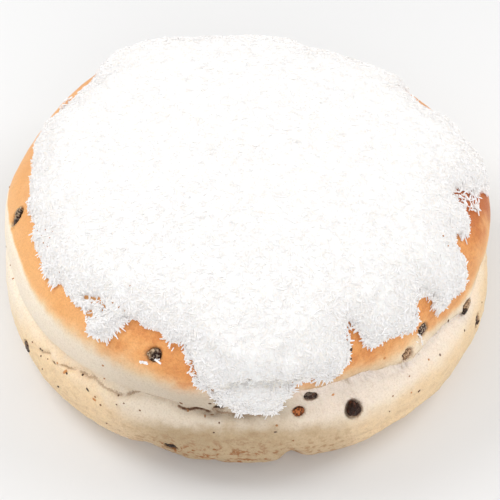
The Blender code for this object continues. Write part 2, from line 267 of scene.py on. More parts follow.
class Finish:
    # a material, with one method that adds any node, and the colour that's built up so far
    colour = None

    def __init__(self, name, constants):
        self.material = bpy.data.materials.new(name)
        self.material.use_nodes = True
        self.tree = self.material.node_tree
        self.shader = self.tree.nodes["Principled BSDF"]
        for socket, value in constants.items():
            self.shader.inputs[socket].default_value = value

    def node(self, kind, settings, sockets, output=0):
        node = self.tree.nodes.new(kind)
        for name, value in settings.items():
            if name == "stops":
                self.fillRamp(node.color_ramp, value)
            else:
                setattr(node, name, value)
        for name, value in sockets.items():
            if isinstance(value, Wire):
                self.tree.links.new(value.socket, node.inputs[name])
            else:
                node.inputs[name].default_value = value
        return Wire(self, node.outputs[output])

    def fillRamp(self, ramp, stops):
        while len(ramp.elements) < len(stops):
            ramp.elements.new(1.0)
        for element, (place, colour) in zip(ramp.elements, stops):
            element.position, element.color = place, colour

    def feed(self, name, value):
        self.tree.links.new(value.socket, self.shader.inputs[name])

    def place(self):
        return self.node("ShaderNodeTexCoord", {}, {}, "Object")

    def attribute(self, name, output="Fac"):
        return self.node("ShaderNodeAttribute", {"attribute_name": name}, {}, output)

    def noise(self, place, size, detail=2.0, roughness=0.5, distortion=0.0):
        # from 0 to 1, its lumps about the size given in the unit of the place
        return self.node("ShaderNodeTexNoise", {}, {
            "Vector": place, "Scale": 1 / size, "Detail": detail,
            "Roughness": roughness, "Distortion": distortion,
        }, "Fac")

    def ease(self, value, low, high, start=0.0, end=1.0):
        return self.node("ShaderNodeMapRange", {"interpolation_type": "SMOOTHSTEP"}, {
            "Value": value, "From Min": low, "From Max": high, "To Min": start, "To Max": end,
        })

    def ramp(self, value, stops):
        return self.node("ShaderNodeValToRGB", {"stops": stops}, {"Fac": value})

    def blend(self, share, first, second, kind="MIX"):
        settings = {"data_type": "RGBA", "blend_type": kind, "clamp_factor": True}
        return self.node("ShaderNodeMix", settings, {0: share, 6: first, 7: second}, 2)

    def cover(self, share, red, green, blue):
        # lays a paint over the colour so far
        self.colour = self.blend(share, self.colour, paint(red, green, blue))

    def stretch(self, place, amounts):
        settings = {"operation": "MULTIPLY"}
        return self.node("ShaderNodeVectorMath", settings, {0: place, 1: amounts})

    def bump(self, height):
        # the height is in millimetres
        self.feed("Normal", self.node("ShaderNodeBump", {}, {
            "Height": height, "Distance": mm, "Strength": 1.0,
        }))


def setFinish(piece, finish, slotName, *nodes):
    piece.data.materials.append(finish.material)
    onlySelect(piece)
    bpy.ops.object.shade_smooth()
    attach(piece, "root")
    if nodes:
        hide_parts(*nodes)
    faces = sum(len(face.vertices) - 2 for face in piece.data.polygons)
    print(f"{piece.name}: {faces} triangles")


# The crust: a fine even skin over the dough, then its folds, tears and wrinkles.
bunCrust = {
    "grid": 0.8,                  # between points of the skin
    "coverRadius": 72,            # the dough is plain inside this, under the icing
    "coverHeight": 50,
    "flatRadius": 60,             # and with no relief at all inside this
    "kept": 0.58,                 # share of faces kept once the plain part is thinned
    # the skin's unevenness: size and seed of its lumps, height
    "uneven": [(13, 1, 0.28), (4.5, 2, 0.10), (2, 3, 0.04)],
    "leather": 0.17,              # height of the dried skin's wrinkles on the foot
    "baseWobble": 0.45,           # how far the foot's lowest edge wanders
    "currantRing": 0.2,           # dough drawn up round each currant
    # height where pale side turns into browned crown, and how far the change takes
    "tide": [(-180, 43), (-172, 46), (-156, 47), (-146, 46), (-136, 46), (-126, 46), (-116, 44),
             (-106, 41.5), (-92, 40), (-78, 40), (-64, 39.5), (-56, 39), (-48, 39.5), (-43, 38.5),
             (-38, 37), (-30, 35.5), (-25, 35.5), (-20, 37), (-10, 38), (10, 35), (40, 38),
             (75, 42), (110, 39), (145, 42), (165, 40)],
    "soft": [(-180, 1.2), (-160, 1.2), (-153, 2), (-146, 4.5), (-136, 8), (-126, 10),
             (-116, 14), (-106, 13), (-90, 12), (-64, 13), (-48, 12), (-40, 7), (-30, 5),
             (-20, 9), (10, 9), (40, 5), (75, 3), (110, 9), (145, 3)],
    # how dark the crown gets next to the icing
    "toast": [(-180, 0.25), (-150, 0.15), (-128, 0.35), (-116, 0.9), (-95, 0.8), (-70, 0.8),
              (-60, 0.9), (-50, 0.4), (-42, 0.8), (-30, 0.7), (-22, 0.85), (-12, 1.25),
              (-4, 1.45), (8, 1.4), (30, 1), (60, 0.5), (90, 0.9), (130, 0.5)],
    # painted shade on the underside of the crown
    "grey": [(-180, 0), (-146, 0), (-136, 0.12), (-126, 0.32), (-116, 0.72), (-106, 0.95),
             (-98, 1.15), (-86, 1.1), (-78, 0.9), (-64, 0.45), (-54, 0.1), (-10, 0.05),
             (15, 0.5), (50, 0.3), (120, 0.6), (160, 0.1)],
    # lower edge of the crown's crust, standing over torn crumb
    "lip": [(-78, 38.5), (-69, 38.4), (-64, 38.4), (-60, 36.3), (-55, 35.4), (-50, 33.5),
            (-43, 34.4), (-37, 34.4), (-31, 31.8), (-27, 28.4), (-24, 28), (-22, 32),
            (-21, 34), (-18, 38), (-10, 36), (30, 34), (60, 36), (85, 33), (110, 35), (130, 34)],
    "lipShare": [(-82, 0), (-72, 1), (-62, 1), (-50, 0.75), (-30, 0.7), (-16, 0.5), (-9, 0),
                 (38, 0), (52, 0.9), (84, 1), (112, 0.7), (126, 0)],
    "lipStep": 0.85,              # how far the torn crumb lies back
    "lipSwell": 0.35,             # how far the lip itself stands out
    "tornStrands": 0.7,           # height of the strands of torn crumb
    # the fold where crown meets foot, its depth and how far its two sides swell
    "crackDeep": 1.9,
    "crackSwells": [(-2.0, 0.45), (1.8, 0.5)],
    "crack": [(-156, 17), (-150, 17), (-142, 22.5), (-139, 22.5), (-136, 24), (-132, 25.5),
              (-126, 27), (-120, 27), (-114, 31), (-108, 32), (-105, 30), (-94, 29), (-80, 29),
              (-10, 29), (8, 28), (30, 26), (60, 29), (120, 28), (140, 30), (165, 22)],
    "crackShare": [(-160, 0), (-146, 0.15), (-140, 1), (-130, 0.6), (-120, 0.7), (-108, 1),
                   (-97, 1), (-90, 0.5), (-82, 0), (-14, 0), (4, 0.7), (24, 0.9), (40, 0.1),
                   (118, 0.2), (134, 0.9), (154, 0.8), (166, 0)],
    # how brown the foot is, and how far up the brown reaches
    "footBrown": [(-180, 0.15), (-168, 0.12), (-156, 0.26), (-146, 0.36), (-136, 0.42),
                  (-126, 0.42), (-119, 0.62), (-114, 0.78), (-106, 1.08), (-98, 1), (-88, 1),
                  (-80, 0.88), (-70, 0.8), (-64, 0.52), (-56, 0.45), (-48, 0.42), (-30, 0.42),
                  (-10, 0.44), (20, 0.6), (50, 0.85), (85, 0.5), (120, 0.9), (150, 0.5)],
    "footLine": [(-180, 16), (-168, 16), (-156, 22), (-146, 24), (-136, 26), (-126, 27),
                 (-119, 24.5), (-115, 22), (-111, 23), (-106, 24), (-98, 25), (-90, 26.5),
                 (-84, 26), (-78, 25), (-72, 24), (-66, 22), (-56, 23), (-48, 26.5),
                 (-40, 24.5), (-30, 25.5), (-20, 26), (-10, 27), (20, 24), (60, 21),
                 (120, 25), (150, 22)],
    # dents in the foot's lower edge: angle, half width in degrees, height, depth
    "dents": [(-112.5, 1.6, 14, 0.9), (-103, 2.2, 11, -0.6), (-97, 1.2, 12, 0.7),
              (-80, 2.1, 18, 3.2), (-64, 4, 12, -0.5), (-47, 1.6, 12, 1.1), (-30, 1.5, 14, 1.1),
              (-12, 3, 10, 0.8), (34, 2, 14, 1.6), (71, 3, 12, 1.6), (96, 1.6, 16, 1.1),
              (133, 2.4, 16, 2.2), (164, 2, 12, 1.2)],
    # shallow folds in the foot: angle, half width in degrees, height, how it slopes, depth
    "folds": [(-57, 9, 14, 0.12, 0.7), (-128, 8, 12, -0.1, 0.5), (52, 10, 13, 0.1, 0.7),
              (148, 9, 12, -0.1, 0.6)],
}


def rimOfIcing(piece):
    # points along the icing's lower edge, all the way round
    points = readPoints(piece)
    angle, radius, height = polar(points)
    angles = np.arange(-180, 180, icingCoat["rimStep"])
    rim = []
    for middle in angles:
        near = np.abs(turnFrom(middle, angle)) < icingCoat["rimWindow"]
        lowest = np.flatnonzero(near)[np.argmin(height[near])]
        rim.append((radius[lowest], height[lowest]))
    radii, heights = np.array(rim).T
    kernel = np.array([1, 2, 3, 2, 1]) / 9
    radii = np.convolve(np.pad(radii, 2, "wrap"), kernel, "valid")
    heights = np.convolve(np.pad(heights, 2, "wrap"), kernel, "valid")
    turn = np.radians(angles)
    return np.stack((radii * np.cos(turn), radii * np.sin(turn), heights), axis=1)


def distanceTo(spots, points):
    tree = KDTree(len(spots))
    for number, spot in enumerate(spots):
        tree.insert(spot, number)
    tree.balance()
    return np.array([tree.find(point)[2] for point in points])


def evenSkin():
    # the solid bun's form as an even skin, thinned where it's plain
    piece = copyOfNode("bun", "bunCrust")
    applyModifier(piece, "round", "SUBSURF", levels=2, render_levels=2)
    applyModifier(piece, "even", "REMESH", mode="VOXEL", voxel_size=bunCrust["grid"] * mm)
    points = readPoints(piece)
    plain = underIcing(points) | (points[:, 2] < 1.0)
    group = piece.vertex_groups.new(name="plain")
    group.add(np.flatnonzero(plain).tolist(), 1.0, "REPLACE")
    applyModifier(piece, "thin", "DECIMATE", ratio=bunCrust["kept"], vertex_group="plain",
                  vertex_group_factor=10.0)
    applyModifier(piece, "settle", "SMOOTH", factor=0.5, iterations=3)
    return piece


def underIcing(points):
    _, radius, height = polar(points)
    return (height > bunCrust["coverHeight"]) & (radius < bunCrust["coverRadius"])


def crustZones(points):
    # how far points are above or below each feature, and how strong the feature is there
    angle, _, height = polar(points)
    wrap = wrapped(angle, height)
    zones = {name: around(angle, bunCrust[name])
             for name in ("soft", "lipShare", "crackShare", "footBrown", "toast", "grey")}
    zones["wrap"] = wrap
    zones["tide"] = height - around(angle, bunCrust["tide"])
    zones["foot"] = around(angle, bunCrust["footLine"]) - height
    zones["lip"] = height - around(angle, bunCrust["lip"]) + 0.5 * lumps(wrap, 3.5, 21)
    zones["crack"] = height - around(angle, bunCrust["crack"]) + 0.7 * lumps(wrap, 4, 22)
    zones["torn"] = zones["lipShare"] * ease(0.35, -0.35, zones["lip"]) * ease(23, 29, height)
    zones["ragged"] = ease(-0.4, 0.5, lumps(wrap, 6, 8)) * ease(-9, -1, zones["lip"])
    zones["slant"] = wrapped(angle + 0.35 * height + 0.8 * lumps(wrap, 5, 12), height, 0.3)
    zones["leather"] = (lumps(wrapped(angle, height, 1.8), 2.6, 6)
                        + 0.6 * lumps(wrapped(angle, height, 2.2), 1.5, 7))
    return zones


def crustLift(points, zones):
    # how far each point of the skin moves out
    angle, radius, height = polar(points)
    lip, lipShare, torn = zones["lip"], zones["lipShare"], zones["torn"]
    crack, crackShare = zones["crack"], zones["crackShare"]
    lift = sum(high * lumps(points, size, seed) for size, seed, high in bunCrust["uneven"])
    strands = bunCrust["tornStrands"] * lumps(zones["slant"], 1.5, 4) * zones["ragged"]
    lift += torn * (-bunCrust["lipStep"] * ease(24, 33, height) + strands)
    lift += bunCrust["lipSwell"] * lipShare * ease(3.0, 0.4, lip) * ease(-0.3, 0.4, lip)
    broken = ease(-0.5, 0.3, lumps(zones["wrap"], 7, 5))
    lift -= bunCrust["crackDeep"] * np.exp(-(crack / 0.75) ** 2) * crackShare * broken
    for level, swell in bunCrust["crackSwells"]:
        lift += swell * crackShare * np.exp(-((crack - level) / 1.3) ** 2)
    lift += 0.3 * ease(3, 1.5, zones["soft"]) * np.exp(-((zones["tide"] + 1.8) / 1.5) ** 2)
    lift += bunCrust["leather"] * zones["leather"] * ease(-2, 6, zones["foot"]) * (height > 0.5)
    lift += bunCrust["baseWobble"] * lumps(wrapped(angle, 0 * height), 6, 9) * ease(7, 1, height)
    for middle, wide, tall, deep in bunCrust["dents"]:
        away = turnFrom(middle, angle) / wide
        lift -= deep * np.exp(-away ** 2) * ease(tall, tall * 0.4, height)
    for middle, wide, level, slope, deep in bunCrust["folds"]:
        turned = turnFrom(middle, angle)
        off = height - level - slope * turned
        fold = np.exp(-(off / 1.1) ** 2) - 0.6 * np.exp(-((off + 2.8) / 1.5) ** 2)
        lift -= deep * np.exp(-(turned / wide) ** 2) * fold
    return lift * np.where((radius < bunCrust["flatRadius"]) & (height > 30), 0, 1)


def makeCrust(rim, currantPoints):
    piece = evenSkin()
    points, outwards = readPoints(piece), readNormals(piece)
    zones = crustZones(points)
    zones["nearCurrant"] = distanceTo(currantPoints, points)
    lift = crustLift(points, zones)
    lift += bunCrust["currantRing"] * np.exp(-((zones["nearCurrant"] - 0.4) / 0.7) ** 2)
    outwards[:, 2] *= ease(1.0, 6.0, points[:, 2])
    points = points + outwards * lift[:, None]
    points[:, 2] -= points[:, 2].min() * ease(5, 0, points[:, 2])
    writePoints(piece, points)
    zones["nearIcing"] = distanceTo(rim, points)
    for name, values in zones.items():
        writeAttribute(piece, name, values)
    setFinish(piece, bakedDough(), "crust", "bun")
    return piece


def doughTreeOf(crust):
    # the crust where it's fine, and the solid under the icing, where the crust is thinned
    allPoints, allFaces = [], []
    for piece, inside in ((crust, False), (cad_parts["bun"], True)):
        points = readPoints(piece)
        covered = underIcing(points)
        first = len(allPoints)
        for face in piece.data.polygons:
            if any(covered[corner] for corner in face.vertices) == inside:
                allFaces.append([first + corner for corner in face.vertices])
        allPoints += points.tolist()
    return BVHTree.FromPolygons(allPoints, allFaces)


def bakedDough():
    finish = Finish("bakedDough", {"Subsurface Weight": 0.12, "Subsurface Scale": 0.003,
                                   "Subsurface Radius": (1.0, 0.6, 0.35), "IOR": 1.4})
    place, wrap = finish.place(), finish.attribute("wrap", "Vector")
    tide, soft, toast, grey = map(finish.attribute, ("tide", "soft", "toast", "grey"))
    lip, lipShare, torn, ragged = map(finish.attribute, ("lip", "lipShare", "torn", "ragged"))
    crack, crackShare = map(finish.attribute, ("crack", "crackShare"))
    foot, footBrown, leather = map(finish.attribute, ("foot", "footBrown", "leather"))
    nearIcing, nearCurrant = map(finish.attribute, ("nearIcing", "nearCurrant"))
    broad = finish.noise(place, 16 * mm, 2)
    patches = finish.noise(place, 5 * mm, 3)
    grain = finish.noise(place, 0.6 * mm, 3, 0.6)
    mottle = finish.noise(finish.stretch(wrap, (1, 1, 1.5)), 2.2, 4, 0.65)
    strands = finish.noise(finish.attribute("slant", "Vector"), 1.5, 3, 0.65, 0.4)

    # the crown, from pale side to toasted top, and painted shade on its underside
    baked = finish.ease(0.5 + tide / soft + (patches - 0.5) * 0.5, 0, 1)
    finish.colour = finish.ramp(baked * 0.9 + (broad - 0.5) * 0.25, [
        (0.0, paint(254, 239, 218)), (0.25, paint(251, 226, 192)), (0.48, paint(249, 211, 161)),
        (0.72, paint(251, 198, 140)), (1.0, paint(244, 179, 109)),
    ])
    # painted shade on the underside of the crown, above the crack
    grey = grey * finish.ease(tide / soft, 0.4, -0.45) * finish.ease(crack, 0.5, -2.5, 1.0, 0.6)
    finish.cover(grey * 0.95, 203, 188, 168)
    deeper = baked * finish.ease(nearIcing, 18, 2) * finish.ease(patches, 0.05, 0.6) * toast
    finish.cover(deeper, 227, 150, 82)
    finish.cover(deeper * finish.ease(mottle, 0.42, 0.62) * 0.6, 206, 124, 70)
    finish.cover(deeper * finish.ease(toast, 0.9, 1.4), 194, 108, 52)

    # the foot, browned and leathery
    low = finish.ease((foot + (patches - 0.5) * 7) / (8 - footBrown * 4.8), -1, 1)
    brown = footBrown * low
    tanned = finish.ramp(footBrown + (broad - 0.5) * 0.2 + (mottle - 0.5) * 0.25, [
        (0.0, paint(252, 235, 208)), (0.35, paint(247, 217, 175)),
        (0.62, paint(230, 203, 167)), (1.0, paint(187, 163, 130)),
    ])
    finish.colour = finish.blend(low, finish.colour, tanned)
    spotted = finish.ease(mottle, 0.51, 0.61) * finish.ease(foot, 1, 14)
    finish.cover(spotted * (brown * brown * 1.15 - 0.1), 158, 104, 62)
    # painted shade in the troughs of the foot's wrinkles
    wrinkleShade = finish.ease(leather, -0.1, -0.9) * low
    finish.cover(wrinkleShade * (0.08 + brown * 0.12), 160, 120, 80)

    # torn crumb under the lip with painted shade between its strands, painted shade just above the
    # lip, and a painted shadow along the lip's own edge
    close = finish.ease(lip, -8, -0.5) * torn
    # crumb paler on its strands and greyer between them: the grey is partly the crumb's own tone,
    # partly painted shade
    strandShadedCrumb = finish.ramp(strands, [(0.37, paint(194, 176, 163)), (0.56, paint(243, 229, 220))])
    finish.cover(torn * 0.9, 244, 229, 214)
    finish.colour = finish.blend(close * (ragged * 0.6 + 0.35), finish.colour, strandShadedCrumb)
    # painted shadows of the strands just under the lip
    strandShadows = finish.ease(strands, 0.42, 0.33) * finish.ease(lip, -6, -0.8) * torn
    finish.cover(strandShadows * finish.ease(patches, 0.45, 0.6) * 0.65, 178, 150, 116)
    # painted shade on the crust just above the lip, where the crown overhangs
    lipShade = finish.ease(lip, 5, 0.4) * finish.ease(lip, -0.6, 0.2) * lipShare
    finish.cover(lipShade * (0.15 + patches * 0.6), 204, 180, 146)
    # a dark line along the lip: painted shadow under its overhang
    edge = finish.ease(abs(lip - 0.3), 0.9, 0.1) * lipShare * finish.ease(patches, 0.47, 0.6)
    finish.cover(edge * 0.6, 168, 130, 88)

    # the crack, with brown specks and painted shade in it, and the rings round the currants
    # brown specks along the crack, with painted shade
    creaseSpecksAndShade = finish.ease(abs(crack + (grain - 0.5) * 1.6), 0.55, 0.1) * crackShare
    finish.cover(creaseSpecksAndShade * finish.ease(patches, 0.36, 0.50) * 0.75, 138, 98, 62)
    # a near-black line in the crack's deepest part: painted shade
    creaseShade = finish.ease(abs(crack), 0.45, 0.1) * finish.ease(crackShare, 0.9, 1)
    finish.cover(creaseShade * finish.ease(patches, 0.44, 0.54) * 0.9, 78, 44, 26)
    finish.cover(finish.ease(nearCurrant + (grain - 0.5), 1.1, 0.2) * 0.6, 150, 106, 70)

    # where it sat on the tray, then its grain all over
    height = finish.node("ShaderNodeSeparateXYZ", {}, {0: place}, "Z")
    base = finish.ease(height, 2.6 * mm, 0.4 * mm) * finish.ease(mottle, 0.3, 0.55)
    finish.cover(base * 0.7, 176, 116, 66)
    colour = finish.blend(1.0, finish.colour, finish.ramp(grain, [
        (0.25, (0.84, 0.81, 0.78, 1)), (0.5, (0.98, 0.98, 0.98, 1)), (0.8, (1.05, 1.06, 1.08, 1)),
    ]), "MULTIPLY")
    finish.feed("Base Color", colour)
    finish.feed("Roughness", 0.82 - baked * 0.30 + (grain - 0.5) * 0.2 + torn * 0.1)
    finish.bump((grain - 0.5) * 0.16 + (mottle - 0.5) * 0.22 * brown
                + (strands - 0.5) * 0.8 * torn + (patches - 0.5) * 0.15)
    return finish


# The icing: a thick coat with a ragged edge, granular from the coconut pressed into it.
icingCoat = {
    "grid": 0.9,                 # between points of the coat
    "settle": 8,                 # rounds of smoothing before and after the bays are drawn
    "calm": 5,
    "rimStep": 0.5,              # degrees between points of its edge
    "rimWindow": 0.75,           # degrees to either side in which the lowest point is looked for
    "sunk": 1.3,                 # how far the underside goes into the dough, to leave no gap
    "least": 2.0,                # its thickness away from the edge is at least this
    # its granular surface: size and seed of its lumps, height
    "grains": [(3.2, 31, 0.14), (1.7, 32, 0.16)],
    # bites out of the edge: size and seed, how far in on the whole, and how much they vary
    "bites": (2.8, 33, 1.3, 1.6),
    # thin places where crust shows: angle, height, half widths round and down, bareness
    "thin": [(-130, 57.5, 7.0, 4.0, 0.6), (-5, 56.5, 5.5, 4.0, 0.72), (152, 57, 6, 4, 0.6)],
    "thinRadius": 80,            # the bun's own, where those places are
    # bays in the edge: angle, half width in degrees, how far up they reach, or down below nought
    "bays": [(-152, 12, 1.5), (-111, 3.5, 2.4), (-98.5, 4.5, 3.6), (-78, 2, 1),
             (-63.2, 2.4, 3.5), (-70.3, 1.5, -3), (-24.3, 3.2, 8), (-20.5, 3, 1.4),
             (-6, 4, 2.4), (31, 11, -4.5), (84, 4, 1.5), (104, 4, 1.5), (148, 15, -4)],
    "bayFade": 16,               # how far above the edge a bay still draws the coat with it
    "bayTop": (61, 51),          # heights where its pull ends and where it's whole
    "steepest": 1.6,             # the most a bay moves the coat in or out for its rise
    # painted shade in the hollow above the front lip: as the thin places, and how much darker
    "hollowShade": (-86, 45.2, 11.5, 2.0, 1.4),
    # swellings and hollows: angle, height, half width in degrees, half height, lift
    "swells": [(-86, 50.2, 11, 3.2, 1.5), (-86, 44.8, 10, 1.7, -1.5), (-87, 40.4, 10, 2.2, 1.6),
               (-88, 34, 6, 3.0, 0.8)],
}


def edgeAt(piece, angle):
    # height of the icing's lower edge below places round the bun
    rimAngle, _, rimHeight = polar(rimOfIcing(piece))
    return np.interp(angle, rimAngle, rimHeight, period=360)


def inwards(tree, turn, level):
    # what a level ray towards the bun's axis meets: place, direction and distance
    out = Vector((cos(turn), sin(turn), 0))
    place, normal, _, far = tree.ray_cast(out * farOut + Vector((0, 0, level)), -out)
    return place, normal, far


def doughRadius(tree, angle, height):
    reach = []
    for turn, level in zip(np.radians(angle), height):
        place, _, far = inwards(tree, turn, level)
        reach.append(farOut - far if place else 0)
    return np.array(reach)


def drawUpBays(piece, doughTree):
    # the coat's lower part is drawn up or down over the dough, so its edge runs in bays
    points = readPoints(piece)
    angle, _, height = polar(points)
    rise = np.zeros(len(points))
    for middle, wide, tall in icingCoat["bays"]:
        away = turnFrom(middle, angle) / wide
        rise += tall * np.exp(-away ** 2)
    rise *= ease(icingCoat["bayFade"], 0, height - edgeAt(piece, angle))
    rise *= ease(*icingCoat["bayTop"], height)
    moved = np.flatnonzero(np.abs(rise) > 0.05)
    level = height[moved] + rise[moved]
    shift = (doughRadius(doughTree, angle[moved], level)
             - doughRadius(doughTree, angle[moved], height[moved]))
    most = icingCoat["steepest"] * np.abs(rise[moved])
    shift = np.clip(shift, -most, most)
    turn = np.radians(angle[moved])
    points[moved, 0] += np.cos(turn) * shift
    points[moved, 1] += np.sin(turn) * shift
    points[moved, 2] = level
    writePoints(piece, points)


def surfaceHeight(points, tree):
    # how far points stand off a surface, and the surface's direction under each
    heights, directions = np.empty(len(points)), np.empty((len(points), 3))
    for number, point in enumerate(points):
        place, normal, _, _ = tree.find_nearest(point)
        heights[number] = (Vector(point) - place).dot(normal)
        directions[number] = normal
    return heights, directions


def distanceFrom(spot, angle, height):
    # from the middle of an oval place on the side of the bun, 1 at its edge
    middle, level, wide, tall = spot
    return np.hypot(turnFrom(middle, angle) / wide, (height - level) / tall)


def thinness(points):
    angle, _, height = polar(points)
    bare = np.zeros(len(points))
    for *spot, amount in icingCoat["thin"]:
        away = distanceFrom(spot, angle, height)
        bare = np.maximum(bare, amount * ease(1.25, 0.3, away))
    return bare


def hollowShading(points):
    # painted shade: how much darker the coconut is in the hollow above the front lip
    angle, _, height = polar(points)
    *spot, amount = icingCoat["hollowShade"]
    away = distanceFrom(spot, angle, height)
    return amount * (ease(1.2, 0.2, away) * (0.75 + 0.5 * lumps(points, 2.5, 35)))


def makeCoat(piece, doughTree, rim):
    points, normals = readPoints(piece), readNormals(piece)
    above, outwards = surfaceHeight(points, doughTree)
    toRim = distanceTo(rim, points)
    grains = sum(high * lumps(points, size, seed) for size, seed, high in icingCoat["grains"])
    outer = ease(0.8, 1.6, above)
    move = normals * (grains * outer)[:, None]
    angle, _, height = polar(points)
    for *spot, lift in icingCoat["swells"]:
        away = distanceFrom(spot, angle, height)
        move += outwards * (lift * np.exp(-away ** 2) * outer)[:, None]
    size, seed, bitten, uneven = icingCoat["bites"]
    bite = ease(0.9, -0.3, toRim - bitten - uneven * lumps(points, size, seed))
    thin = thinness(points)
    holes = ease(0.50, 0.66, thin + 0.42 * lumps(points, 2.2, 34))
    # the coat thins out towards its edge
    sink = (above - 0.5) * 0.5 * ease(5.5, 0, toRim) * outer
    sink = np.maximum(sink, thin * 1.3 * (above - 0.7) * outer)
    facing = (normals * outwards).sum(axis=1)
    inner = np.maximum(ease(0.2, -0.2, facing), ease(6, 3, toRim))
    sink = np.maximum(sink, icingCoat["sunk"] * ease(1.1, 0.5, above) * inner)
    sink = np.maximum(sink, np.maximum(bite, holes) * (above + 0.6))
    fill = np.maximum(icingCoat["least"] - above, 0) * ease(0.1, 0.4, facing) * ease(6, 9, toRim)
    move += outwards * (fill - sink)[:, None]
    writePoints(piece, points + move)
    setFinish(piece, sugarWhite(), "icing", "icing")


def sugarWhite():
    finish = Finish("sugarWhite", {
        "Roughness": 0.75, "Subsurface Weight": 0.5, "Subsurface Scale": 0.002,
        "Subsurface Radius": (1.0, 0.95, 0.9),
        # a faint glow that lifts the shade between the coconut: painted light
        "Emission Color": (0.97, 0.97, 1.0, 1), "Emission Strength": 0.02,
    })
    place = finish.place()
    grain = finish.noise(place, 0.9 * mm, 3, 0.6)
    broad = finish.noise(place, 7 * mm, 2)
    colour = finish.ramp(grain * 0.6 + broad * 0.4, [
        (0.3, paint(250, 248, 244)), (0.5, paint(253, 252, 249)), (0.7, paint(255, 254, 252)),
    ])
    finish.feed("Base Color", colour)
    finish.bump((grain - 0.5) * 0.4)
    return finish


# Coconut: three kinds of shreds, each modelled once, then strewn.
coconut = {
    # Each kind: how many cylinders long the splinter is, and how far its ends taper;
    # how many lie on top and hang out of the edge, and how many a square mm in thin places;
    # how they tilt in degrees, how much closer together they lie at the edge, and how they bend;
    # in the fringe, how far inside the edge they start, how high the tips are, and how they fan.
    "threads": {"pieces": 3, "taper": 0.6, "top": 4200, "fringe": 2500, "thin": 0.9,
                "length": (1.6, 3.6), "width": (0.45, 0.8), "thick": (0.3, 0.45),
                "tilt": 7, "rimBias": 2.5, "bends": 0.05,
                "inside": (0.2, 2.3), "tipHeight": (0.25, 0.9), "fan": 55},
    "shreds": {"pieces": 1, "taper": 0.8, "top": 18300, "fringe": 3900, "thin": 0.7,
               "length": (1.0, 2.3), "width": (0.45, 0.8), "thick": (0.3, 0.45),
               "tilt": 9, "rimBias": 2.0, "bends": 0,
               "inside": (0.1, 2.0), "tipHeight": (0.25, 1.3), "fan": 70},
    "crumbs": {"pieces": 1, "taper": 0.85, "top": 22000, "fringe": 1800, "thin": 0.4,
               "length": (0.6, 1.2), "width": (0.45, 0.8), "thick": (0.3, 0.5),
               "tilt": 14, "rimBias": 1.0, "bends": 0,
               "inside": (0.0, 2.0), "tipHeight": (0.25, 1.2), "fan": 80},
    "radius": 0.57,               # of the splinter's first cylinder, for a width of one
    "seed": 7,
    # single ones on the crust: pixel of the camera's frame, length, width, turn in the frame
    "loose": [(144.0, 362.0, 2.7, 0.9, -4), (145.0, 362.9, 2.4, 0.8, -13),
              (142.6, 362.1, 1.2, 1.1, 30), (157.0, 360.8, 2.9, 0.9, -40),
              (158.4, 362.0, 2.6, 0.9, -33), (155.6, 360.2, 1.4, 1.1, 5),
              (417.2, 334.2, 1.6, 0.7, -35), (418.4, 336.0, 1.2, 0.8, -60),
              (420.3, 339.4, 2.4, 0.6, -70), (421.4, 342.4, 1.8, 0.5, -80),
              (416.0, 341.5, 1.2, 0.4, -30), (173, 349.5, 1.4, 0.5, 60)],
    "looseThick": 0.7,
    "looseLift": 0.55,            # of their middles above the crust
}


def selectEnd(shape, side):
    # picks the flat end that looks along X
    bpy.ops.object.mode_set(mode="EDIT")
    bpy.ops.mesh.select_mode(type="FACE")
    bpy.ops.mesh.select_all(action="DESELECT")
    bpy.ops.object.mode_set(mode="OBJECT")
    for face in shape.data.polygons:
        face.select = face.normal.x * side > 0.9
    bpy.ops.object.mode_set(mode="EDIT")


def splinter(kind):
    # a three-sided splinter from -0.5 to 0.5 along X, about one wide, drawn out piece by piece
    step = 1 / kind["pieces"]
    bpy.ops.object.select_all(action="DESELECT")
    bpy.ops.mesh.primitive_cylinder_add(vertices=3, radius=coconut["radius"], depth=step,
                                        location=(step / 2 - 0.5, 0, 0), rotation=(0, pi / 2, 0))
    bpy.ops.object.transform_apply(location=True, rotation=True, scale=True)
    shape = bpy.context.active_object
    for _ in range(kind["pieces"] - 1):
        selectEnd(shape, 1)
        bpy.ops.mesh.extrude_region_move(TRANSFORM_OT_translate={"value": (step, 0, 0)})
        bpy.ops.object.mode_set(mode="OBJECT")
    for side in (-1, 1):
        selectEnd(shape, side)
        bpy.ops.transform.resize(value=(1, kind["taper"], kind["taper"]))
        bpy.ops.object.mode_set(mode="OBJECT")
    return takeShape(shape)


def unit(vectors):
    return vectors / np.maximum(np.linalg.norm(vectors, axis=1, keepdims=True), 1e-9)


def strew(name, shape, batches, finish):
    # one mesh of many copies of a shape, each with its own place, size, bend and tint
    middle, along, up, sizes, bend, tint = (np.concatenate(part) for part in zip(*batches))
    points, faces = shape
    side = unit(np.cross(up, along))
    up = np.cross(along, side)
    x, y, z = (points[None, :, axis, None] for axis in range(3))
    bow = 0.25 - x * x
    # painted shade lowers the tint of the copies in the hollow above the front lip
    tint = tint - hollowShading(middle)
    body = (middle[:, None] + along[:, None] * x * sizes[:, None, 0:1]
            + side[:, None] * (y * sizes[:, None, 1:2] + bow * bend[:, None, 0:1])
            + up[:, None] * (z * sizes[:, None, 2:3] + bow * bend[:, None, 1:2]))
    firsts = np.arange(len(middle))[:, None] * len(points)
    everyFace = [row for face in faces for row in (firsts + np.array(face)).tolist()]
    piece = newPiece(name, (body.reshape(-1, 3) * mm).tolist(), everyFace)
    writeAttribute(piece, "tint", np.repeat(tint, len(points)))
    piece.data.materials.append(finish.material)
    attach(piece, "root")
    perCopy = sum(len(face) - 2 for face in faces)
    print(f"{name}: {len(middle)} copies, {len(middle) * perCopy} triangles")


